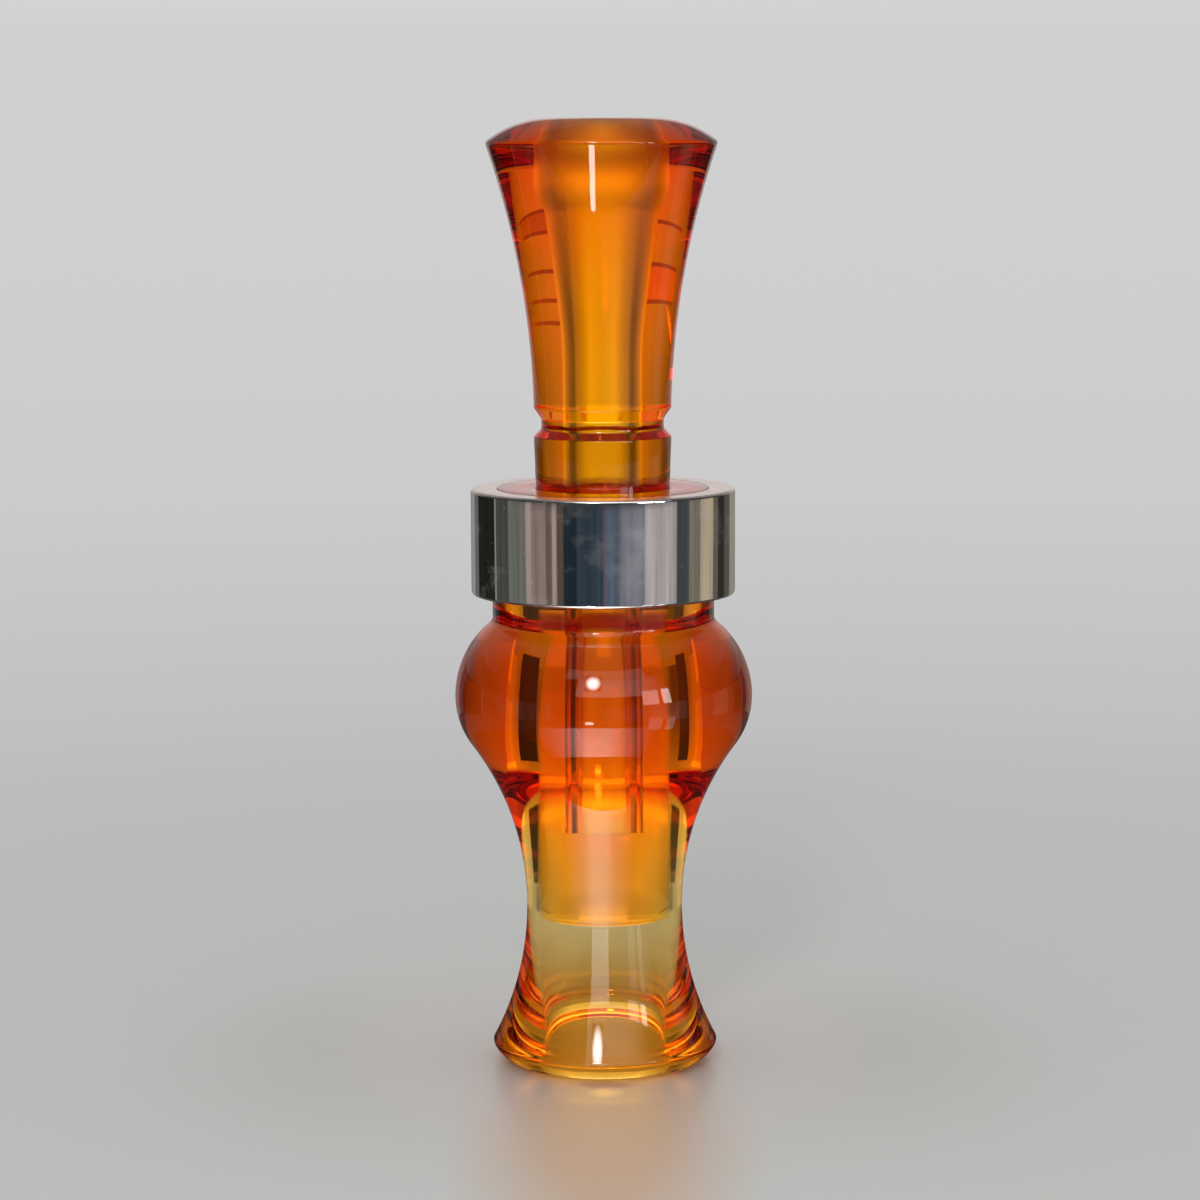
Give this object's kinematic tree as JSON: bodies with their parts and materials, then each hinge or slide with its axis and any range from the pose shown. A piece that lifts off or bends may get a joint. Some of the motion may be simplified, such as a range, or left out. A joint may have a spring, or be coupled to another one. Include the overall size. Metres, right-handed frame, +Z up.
{
  "type": "duck call",
  "caption": "Turned translucent duck call: a waisted barrel with a metal band, and a push-in insert with a lanyard groove, flared bell, toneboard and a wedged reed that sounds when blown.",
  "frame": {"origin": "centre of the barrel's mouth end, on the surface that the call stands on", "axes": "+Z up the call's axis from the mouth end to the bell; the toneboard's flat, with the reed and wedge, faces +Y"},
  "size_m": [0.036, 0.0358, 0.1142],
  "materials": {
    "amber_acrylic": "polished",
    "polished_aluminium": "polished",
    "reed_film": "satin",
    "cork": "matte"
  },
  "bodies": {
    "barrel": {"barrel": "amber_acrylic", "band": "polished_aluminium"},
    "insert": {"insert": "amber_acrylic", "wedge": "cork"},
    "reed": {"reed": "reed_film"}
  },
  "joints": [
    {"name": "insert_pull", "type": "slide", "parent": "barrel", "child": "insert", "axis": [0, 0, 1], "range_m": [0, 0.056]},
    {"name": "reed_flex", "type": "hinge", "parent": "insert", "child": "reed", "pos_m": [0, 0.00118, 0.05567], "axis": [1, 0, 0], "range_deg": [-1.5, 0.8], "stiffness_Nm_per_rad": 0.006, "deforming": ["reed"]}
  ]
}
